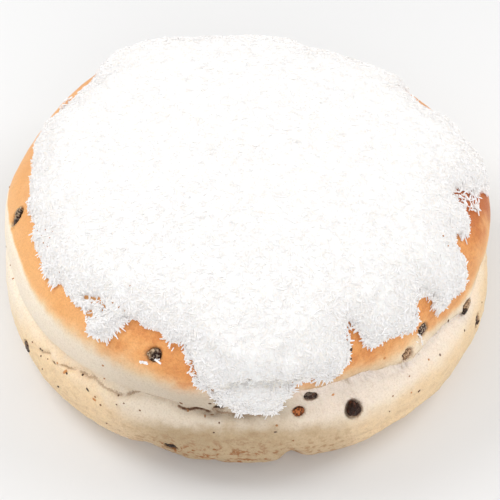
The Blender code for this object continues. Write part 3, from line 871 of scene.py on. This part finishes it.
def batch(rng, middle, along, up, kind, bends):
    # sizes and bends are drawn from ranges, one for each copy
    count = len(middle)
    parts = [rng.uniform(*kind[part], count) for part in ("length", "width", "thick")]
    sizes = np.stack(parts, axis=1)
    bend = rng.normal(0, 1, (count, 2)) * bends * sizes[:, :1]
    return middle, unit(along), unit(up), sizes, bend, rng.uniform(0, 1, count)


def outerFaces(piece, doughTree):
    # middles, directions and areas of the coat's faces that show
    count = len(piece.data.polygons)
    middles, normals, areas = np.empty(count * 3), np.empty(count * 3), np.empty(count)
    piece.data.polygons.foreach_get("center", middles)
    piece.data.polygons.foreach_get("normal", normals)
    piece.data.polygons.foreach_get("area", areas)
    middles, normals = middles.reshape(-1, 3) / mm, normals.reshape(-1, 3)
    above, _ = surfaceHeight(middles, doughTree)
    shown = above > 0.35
    return middles[shown], normals[shown], areas[shown]


def pick(rng, weights, count):
    return rng.choice(len(weights), count, p=weights / weights.sum())


def anyTangent(rng, normals):
    return unit(np.cross(normals, rng.normal(0, 1, normals.shape)))


def onTop(rng, faces, toRim, kind):
    # lying every way on the icing, closer together towards its edge and calmer away from it
    middles, normals, areas = faces
    count = kind["top"]
    nearRim = ease(16, 3, toRim)
    chosen = pick(rng, areas * (1 + kind["rimBias"] * nearRim), count)
    up = normals[chosen]
    flat = anyTangent(rng, up)
    calm = 0.55 + 0.45 * nearRim[chosen]
    lean = np.radians(np.abs(rng.normal(0, kind["tilt"], count)) * calm)[:, None]
    along = flat * np.cos(lean) + up * np.sin(lean)
    lift = rng.uniform(-0.15, 0.1, count) + 0.15 * (calm - 0.55)
    lift = lift[:, None] + np.sin(lean) * sum(kind["length"]) / 4
    middle = middles[chosen] + up * lift + flat * rng.normal(0, 0.4, count)[:, None]
    roll = unit(up + 0.5 * rng.normal(0, 1, up.shape))
    return batch(rng, middle, along, roll, kind, kind["bends"])


def rimFringe(rng, rim, doughTree, kind):
    # shreds that start in the edge of the coat and hang out over the crust
    count = kind["fringe"]
    nextSpots = np.roll(rim, -1, axis=0)
    bitten = lumps(rim, *icingCoat["bites"][:2])
    clumps = 0.12 + ease(0.35, -0.4, bitten)
    long = 0.75 + 0.6 * ease(0.1, -0.6, bitten)
    chosen = pick(rng, np.linalg.norm(nextSpots - rim, axis=1) * clumps, count)
    share = rng.uniform(0, 1, count)[:, None]
    edge = rim[chosen] * (1 - share) + nextSpots[chosen] * share
    direction = unit(nextSpots[chosen] - rim[chosen])
    _, up = surfaceHeight(edge, doughTree)
    out = unit(np.cross(direction, up))
    turn = np.radians(rng.normal(0, kind["fan"], count))[:, None]
    out = unit(out * np.cos(turn) + direction * np.sin(turn) + np.array((0, 0, -0.2)))
    start = edge - out * rng.uniform(*kind["inside"], count)[:, None]
    tip = start + out * (rng.uniform(*kind["length"], count) * long[chosen])[:, None]
    startAbove, startUp = surfaceHeight(start, doughTree)
    start += startUp * (rng.uniform(0.4, 2.0, count) - startAbove)[:, None]
    tipAbove, tipUp = surfaceHeight(tip, doughTree)
    tip += tipUp * (rng.uniform(*kind["tipHeight"], count) - tipAbove)[:, None]
    roll = up + 0.4 * rng.normal(0, 1, up.shape)
    made = batch(rng, (start + tip) / 2, tip - start, roll, kind, 0.04)
    made[3][:, 0] = np.linalg.norm(tip - start, axis=1)
    return made


def inThinPlaces(rng, doughTree, kind):
    # loose over the crust where the icing is thin
    middles, ups = [], []
    for angle, level, wide, tall, _ in icingCoat["thin"]:
        area = 1.3 * pi * radians(wide) * icingCoat["thinRadius"] * tall
        for _ in range(int(kind["thin"] * area)):
            turn = radians(angle + rng.uniform(-1.1, 1.1) * wide)
            place, normal, _ = inwards(doughTree, turn, level + rng.uniform(-1.1, 1.1) * tall)
            if place:
                middles.append(place + normal * rng.uniform(0.2, 1.2))
                ups.append(normal)
    middles, ups = np.array(middles), np.array(ups)
    along = anyTangent(rng, ups) + ups * rng.normal(0, 0.15, len(ups))[:, None]
    return batch(rng, middles, along, ups, kind, 0.06)


def looseOnes(doughTree):
    middles, alongs, ups, sizes = [], [], [], []
    for x, y, length, width, turn in coconut["loose"]:
        place, normal = pixelHit(x, y, doughTree)
        along = frameDirection(turn)
        middles.append(place + normal * coconut["looseLift"])
        alongs.append((along - normal * along.dot(normal)).normalized())
        ups.append(normal)
        sizes.append((length, width, coconut["looseThick"]))
    count = len(middles)
    return (np.array(middles), np.array(alongs), np.array(ups), np.array(sizes),
            np.zeros((count, 2)), np.full(count, 0.8))


def strewCoconut(coat, doughTree, rim):
    rng = np.random.default_rng(coconut["seed"])
    faces = outerFaces(coat, doughTree)
    toRim = distanceTo(rim, faces[0])
    finish = coconutFlesh()
    for name in ("threads", "shreds", "crumbs"):
        kind = coconut[name]
        batches = [rimFringe(rng, rim, doughTree, kind), onTop(rng, faces, toRim, kind),
                   inThinPlaces(rng, doughTree, kind)]
        if name == "shreds":
            batches.append(looseOnes(doughTree))
        strew("coconut" + name.capitalize(), splinter(kind), batches, finish)


def coconutFlesh():
    finish = Finish("coconutFlesh", {
        "Roughness": 0.6, "Subsurface Weight": 0.35, "Subsurface Scale": 0.001,
        "Subsurface Radius": (1.0, 0.95, 0.9),
        # a faint glow that lifts the shade between the shreds: painted light
        "Emission Color": (0.97, 0.97, 1.0, 1), "Emission Strength": 0.02,
    })
    tint = finish.attribute("tint")
    grain = finish.noise(finish.place(), 0.5 * mm, 2)
    # the stops under one half are only reached where painted shade lowers the tint
    colour = finish.ramp(tint * 0.43 + grain * 0.07 + 0.5, [
        (0.1, paint(204, 200, 197)), (0.42, paint(236, 233, 230)), (0.51, paint(247, 240, 228)),
        (0.55, paint(252, 248, 243)), (0.75, paint(254, 251, 250)), (1.0, paint(254, 253, 253)),
    ])
    finish.feed("Base Color", colour)
    finish.bump((grain - 0.5) * 0.12)
    return finish


# Currants: shrivelled and glossy, sunk in the dough, some half under a skin of it.
currants = {
    "wrinkle": 0.42,              # depth of its folds
    "wrinkleSize": 1.7,           # from one fold to the next
    "flatten": 0.5,               # how much is left of what stands out past the skin
    "uneven": (2.7, 0.27),        # size and height of the bulges in its outline
    "swollenOut": 1.8,            # how far a swollen one stands out, for each time its width
    # the dough skin over each: the side it comes from in the camera's frame, in degrees, and
    # its share; how speckled with painted glints, how warm its skin and how wide the currant has
    # swollen
    "looks": {
        "currant_01": (200, -0.06, 0, 0, 1.0), "currant_02": (90, 0.12, 1.2, 0.2, 1.25),
        "currant_03": (135, 0.38, 0.8, 0.1, 1.1), "currant_04": (135, 0.36, 0.2, 0, 1.35),
        "currant_05": (-10, 0.70, 0.2, 0.3, 1.1), "currant_06": (70, 0.62, 0.2, 0.2, 1.1),
        "currant_07": (160, 0.10, 0.3, 0.3, 1.1), "currant_08": (45, 0.85, 0.5, 1, 1.15),
        "currant_09": (-90, 0.25, 0.2, 0.3, 1.0), "currant_10": (90, 0.40, 0.4, 0.6, 1.0),
        "currant_12": (90, 0.30, 0.1, 0, 1.0),
    },
    "otherLook": (60, 0.35, 0.4, 0.3, 1.05),
}


def makeCurrant(node, number, finish):
    piece = copyOfNode(node, node + "_wrinkled")
    applyModifier(piece, "fine", "SUBSURF", levels=3, render_levels=3)
    points, normals = readPoints(piece), readNormals(piece)
    middle = points.mean(axis=0)
    folds = 1 - np.abs(lumps(points, currants["wrinkleSize"], 40 + number)) * 2
    fine = lumps(points, currants["wrinkleSize"] * 0.4, 60 + number)
    lift = -currants["wrinkle"] * ease(-0.2, 1, folds) + 0.06 * fine
    points = points + normals * lift[:, None]
    turn, share, speckle, warm, swell = currants["looks"].get(node, currants["otherLook"])
    outwards = unit(((middle - (0, 0, 30)) * (1, 1, 0.5))[None])[0]
    reach = (points - middle) @ outwards
    flat = points - middle - reach[:, None] * outwards
    size, bulge = currants["uneven"]
    uneven = swell - 1 + bulge * lumps(points, size, 80 + number)
    points = points + flat * uneven[:, None]
    excess = np.maximum(reach - 0.35 * reach.max(), 0) * (1 - currants["flatten"])
    points = points + (currants["swollenOut"] * (swell - 1) - excess)[:, None] * outwards
    writePoints(piece, points)
    sideways = np.array(frameDirection(turn))
    across = (points - middle) @ sideways / (np.ptp(points, axis=0).max() / 2)
    writeAttribute(piece, "skin", across + share * 2 - 1)
    for name, value in (("speckle", speckle), ("warm", warm)):
        writeAttribute(piece, name, np.full(len(points), float(value)))
    setFinish(piece, finish, "currant", node)
    return points


def currantSkin():
    finish = Finish("currantSkin", {"IOR": 1.4, "Specular IOR Level": 0.2,
                                    "Coat Weight": 0.05, "Coat Roughness": 0.15})
    place = finish.place()
    skin, speckle, warm = map(finish.attribute, ("skin", "speckle", "warm"))
    patches = finish.noise(place, 2.0 * mm, 2)
    grain = finish.noise(place, 0.45 * mm, 3, 0.6)
    specks = finish.noise(place, 0.7 * mm, 2, 0.5)
    finish.colour = finish.ramp(patches * 0.7 + grain * 0.3, [
        (0.32, paint(27, 12, 8)), (0.52, paint(44, 22, 14)), (0.66, paint(100, 54, 32)),
    ])
    # pale specks: painted glints on the glossy skin
    glintSpecks = finish.ease(specks, 0.50, 0.60) * (speckle + 0.04)
    finish.cover(glintSpecks * 0.75, 190, 172, 152)
    film = finish.ease(skin + (patches - 0.5) * 1.6 + (grain - 0.5) * 1.2, -0.15, 0.35)
    pale = finish.ramp(specks, [
        (0.36, paint(104, 78, 56)), (0.46, paint(176, 152, 122)), (0.6, paint(214, 192, 160)),
    ])
    orange = finish.ramp(specks, [(0.42, paint(100, 62, 42)), (0.54, paint(206, 122, 70))])
    skinColour = finish.blend(warm, pale, orange)
    finish.feed("Base Color", finish.blend(film * 0.9, finish.colour, skinColour))
    finish.feed("Roughness", 0.38 + (grain - 0.5) * 0.4 + film * 0.25)
    finish.bump((grain - 0.5) * 0.3)
    return finish


# Scraps in the crust: bits of dark currant skin and baked specks.
scraps = {
    # pixel of the camera's frame, length, width, turn in degrees, tint from dark 0 to orange 1
    "shown": [
        (40.6, 348.8, 1.0, 0.8, 20, 0.1), (42.5, 350.3, 0.9, 0.7, 70, 0.0),
        (41, 356, 0.8, 0.6, 0, 0.1), (42.5, 369, 0.9, 0.6, 30, 0.2),
        (58.4, 386.7, 1.2, 0.9, 40, 0.1), (66.8, 373.4, 1.1, 0.9, 0, 0.0),
        (82.7, 374.9, 1.2, 0.8, 10, 0.1), (87.6, 389.5, 1.8, 0.7, -30, 0.0),
        (57.4, 363, 0.9, 0.7, 0, 0.9), (65, 371.8, 2.4, 1.2, 70, 0.95),
        (32.5, 342, 0.7, 0.6, 0, 0.5), (47.8, 359, 0.7, 0.5, 0, 0.4),
        (94.2, 399.4, 1.8, 1.0, 10, 0.9), (95.2, 396.8, 0.9, 0.6, 0, 0.6),
        (100.5, 405, 0.9, 0.7, 0, 0.4), (102.9, 365.4, 0.9, 0.7, 0, 0.7),
        (104.4, 378.5, 0.8, 0.6, 0, 0.7), (118.5, 395.6, 0.9, 0.7, 0, 0.3),
        (106.6, 423.2, 0.8, 0.6, 0, 0.4), (139.9, 410.4, 0.8, 0.6, 0, 0.4),
        (123.8, 403.3, 0.7, 0.5, 0, 0.4), (116.6, 404.5, 0.7, 0.5, 0, 0.4),
        (162.3, 443.5, 0.8, 0.6, 0, 0.6), (192.7, 450.4, 0.9, 0.6, 0, 0.6),
        (188, 410.6, 0.9, 0.8, 0, 0.6), (219.2, 422.7, 0.8, 0.6, 90, 0.4),
        (213.8, 432.5, 0.7, 0.5, 0, 0.2), (271.4, 408.8, 1.0, 0.8, 60, 0.2),
        (276.8, 425.4, 1.0, 0.8, 0, 0.7), (275.4, 432, 1.1, 0.4, 0, 0.0),
        (233.9, 452, 0.9, 0.6, 0, 0.6), (214.3, 449.5, 1.3, 1.0, 0, 0.6),
        (293.3, 440.5, 0.8, 0.6, 0, 0.6), (333, 394.6, 1.4, 1.1, 60, 0.95),
        (440, 354.8, 1.0, 0.8, 60, 0.2), (428.8, 359.6, 0.9, 0.7, 60, 0.9),
        (419, 391, 1.3, 0.8, 20, 0.2), (411.4, 392.5, 0.8, 0.6, 0, 0.9),
        (393, 396, 0.8, 0.6, 20, 0.6), (389.5, 411.3, 0.6, 0.5, 0, 0.3),
        (464.5, 330.5, 0.9, 0.7, 60, 0.3), (481.8, 302.4, 0.8, 0.7, 60, 0.6),
        (477.8, 322.9, 2.8, 0.7, 70, 0.1), (384.6, 358.3, 1.1, 0.9, 0, 0.95),
        (448.2, 320.8, 1.3, 0.7, 60, 0.3), (409.4, 376.2, 0.7, 0.5, 0, 0.6),
        (462.4, 311.6, 1.6, 0.9, 60, 0.2), (351, 349, 2.0, 1.0, 80, 0.1),
        (350.5, 359, 1.3, 0.9, 20, 0.0), (181, 403, 1.5, 0.5, -40, 0.45),
        (187, 409, 1.2, 0.6, -30, 0.45), (205, 416, 1.4, 0.6, 10, 0.6),
        (212, 415, 1.2, 0.5, 10, 0.5), (209.8, 403.5, 1.1, 0.8, 0, 0.25),
    ],
    # the same kinds on the sides away from the camera
    "hidden": {"count": 70, "turn": (-5, 205), "height": (4, 42),
               "length": (0.6, 1.4), "width": (0.5, 0.9)},
    "thick": 0.55,
    "seed": 19,
    # browned specks that show between the coconut: pixel of the camera's frame, and length
    "inIcing": [(38, 231, 0.8), (42, 236, 0.6), (46, 230, 0.7), (50, 238, 0.6), (44, 243, 0.7),
                (39, 246, 0.6), (53, 232, 0.5), (48, 247, 0.5), (35, 239, 0.6), (60, 272, 0.5),
                (87, 298, 0.8), (92, 303, 0.7), (97, 299, 0.9), (103, 302, 0.7), (109, 298, 0.6),
                (113, 303, 0.8), (119, 307, 0.7), (90, 309, 0.6), (100, 309, 0.8),
                (106, 311, 0.6), (125, 311, 0.6), (96, 318, 0.5), (130, 286, 0.7),
                (280, 387, 0.4), (443, 236, 0.7), (452, 228, 0.6), (448, 246, 0.6),
                (347, 322, 0.6)],
}


def lumpShape():
    bpy.ops.object.select_all(action="DESELECT")
    bpy.ops.mesh.primitive_uv_sphere_add(segments=8, ring_count=5, radius=0.5)
    bpy.ops.object.mode_set(mode="EDIT")
    bpy.ops.mesh.select_all(action="SELECT")
    bpy.ops.mesh.tris_convert_to_quads()
    bpy.ops.object.mode_set(mode="OBJECT")
    return takeShape(bpy.context.active_object)


def scrapSpots(doughTree, coatTree):
    # place, direction, length, width, turn and tint of every scrap
    rng = np.random.default_rng(scraps["seed"])
    spots = []
    for x, y, size in scraps["inIcing"]:
        place, normal = pixelHit(x, y, coatTree)
        if place:
            spots.append((place + normal * 0.15, normal, size, size * 0.7, x * 7 + y, 0.75))
    for x, y, length, width, turn, tint in scraps["shown"]:
        spots.append((*pixelHit(x, y, doughTree), length, width, turn, tint))
    hidden = scraps["hidden"]
    for _ in range(hidden["count"]):
        turn = radians(rng.uniform(*hidden["turn"]))
        place, normal, _ = inwards(doughTree, turn, rng.uniform(*hidden["height"]))
        spots.append((place, normal, rng.uniform(*hidden["length"]), rng.uniform(*hidden["width"]),
                      rng.uniform(0, 180), rng.uniform(0, 1)))
    return spots


def strewScraps(doughTree, coatTree):
    points, faces = lumpShape()
    body, everyFace, tints = [], [], []
    for number, spot in enumerate(scrapSpots(doughTree, coatTree)):
        place, normal, length, width, turn, tint = spot
        across = Vector((0, 0, 1)).cross(normal).normalized()
        along = across * cos(radians(turn)) + normal.cross(across) * sin(radians(turn))
        side = normal.cross(along)
        shape = points * (1 + 0.25 * lumps(points + number, 0.4, 3))[:, None]
        for x, y, z in shape:
            corner = along * (x * length) + side * (y * width) + normal * (z * scraps["thick"])
            body.append(tuple((place + corner) * mm))
        everyFace += [tuple(v + number * len(points) for v in face) for face in faces]
        tints += [tint] * len(points)
    piece = newPiece("crustScraps", body, everyFace)
    writeAttribute(piece, "tint", np.array(tints))
    setFinish(piece, bakedScrap(), "currant")


def bakedScrap():
    finish = Finish("bakedScrap", {})
    tint = finish.attribute("tint")
    grain = finish.noise(finish.place(), 0.5 * mm, 2)
    colour = finish.ramp(tint + (grain - 0.5) * 0.3, [
        (0.0, paint(58, 38, 28)), (0.4, paint(116, 80, 50)),
        (0.7, paint(176, 124, 74)), (1.0, paint(212, 146, 84)),
    ])
    finish.feed("Base Color", colour)
    finish.feed("Roughness", 0.45 + (grain - 0.5) * 0.4)
    return finish


# A pale floor and soft light.
studio = {
    "world": 0.57,
    "lights": {
        "left": {"place": (-420, 160, 560), "size": 420, "watts": 2.15},
        "right": {"place": (460, 120, 500), "size": 420, "watts": 1.5},
        "front": {"place": (60, -620, 420), "size": 460, "watts": 1.4},
    },
    "aim": (0, -10, 30),
    "floor": 3000,
}


def addLight(name, settings):
    data = bpy.data.lights.new(name, "AREA")
    data.shape, data.size, data.energy = "DISK", settings["size"] * mm, settings["watts"]
    light = bpy.data.objects.new(name, data)
    place, aim = Vector(settings["place"]) * mm, Vector(studio["aim"]) * mm
    light.location = place
    light.rotation_euler = (aim - place).to_track_quat("-Z", "Y").to_euler()
    bpy.context.scene.collection.objects.link(light)


def addStudio():
    scene = bpy.context.scene
    scene.view_settings.view_transform = "Standard"
    world = bpy.data.worlds.new("studio")
    world.use_nodes = True
    world.node_tree.nodes["Background"].inputs["Color"].default_value = (1, 1, 1, 1)
    world.node_tree.nodes["Background"].inputs["Strength"].default_value = studio["world"]
    scene.world = world
    for name, settings in studio["lights"].items():
        addLight(name, settings)
    bpy.ops.object.select_all(action="DESELECT")
    bpy.ops.mesh.primitive_plane_add(size=studio["floor"] * mm)
    floor = bpy.context.active_object
    floor.name = "floor"
    finish = Finish("paleFloor", {"Roughness": 0.9, "Base Color": (0.80, 0.80, 0.80, 1)})
    floor.data.materials.append(finish.material)


icing = copyOfNode("icing", "icingCoat")
applyModifier(icing, "even", "REMESH", mode="VOXEL", voxel_size=icingCoat["grid"] * mm)
applyModifier(icing, "settle", "SMOOTH", factor=0.5, iterations=icingCoat["settle"])
drawUpBays(icing, treeOf(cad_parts["bun"]))
applyModifier(icing, "calm", "SMOOTH", factor=0.5, iterations=icingCoat["calm"])
icingRim = rimOfIcing(icing)
print("edge of the icing found")
shrivelled = currantSkin()
currantPoints = [makeCurrant(node, number, shrivelled)
                 for number, node in enumerate(sorted(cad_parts))
                 if node.startswith("currant")]
crust = makeCrust(icingRim, np.concatenate(currantPoints))
crustTree = doughTreeOf(crust)
makeCoat(icing, crustTree, icingRim)
strewCoconut(icing, crustTree, icingRim)
strewScraps(crustTree, treeOf(icing))
addStudio()
print("floor and lights placed")
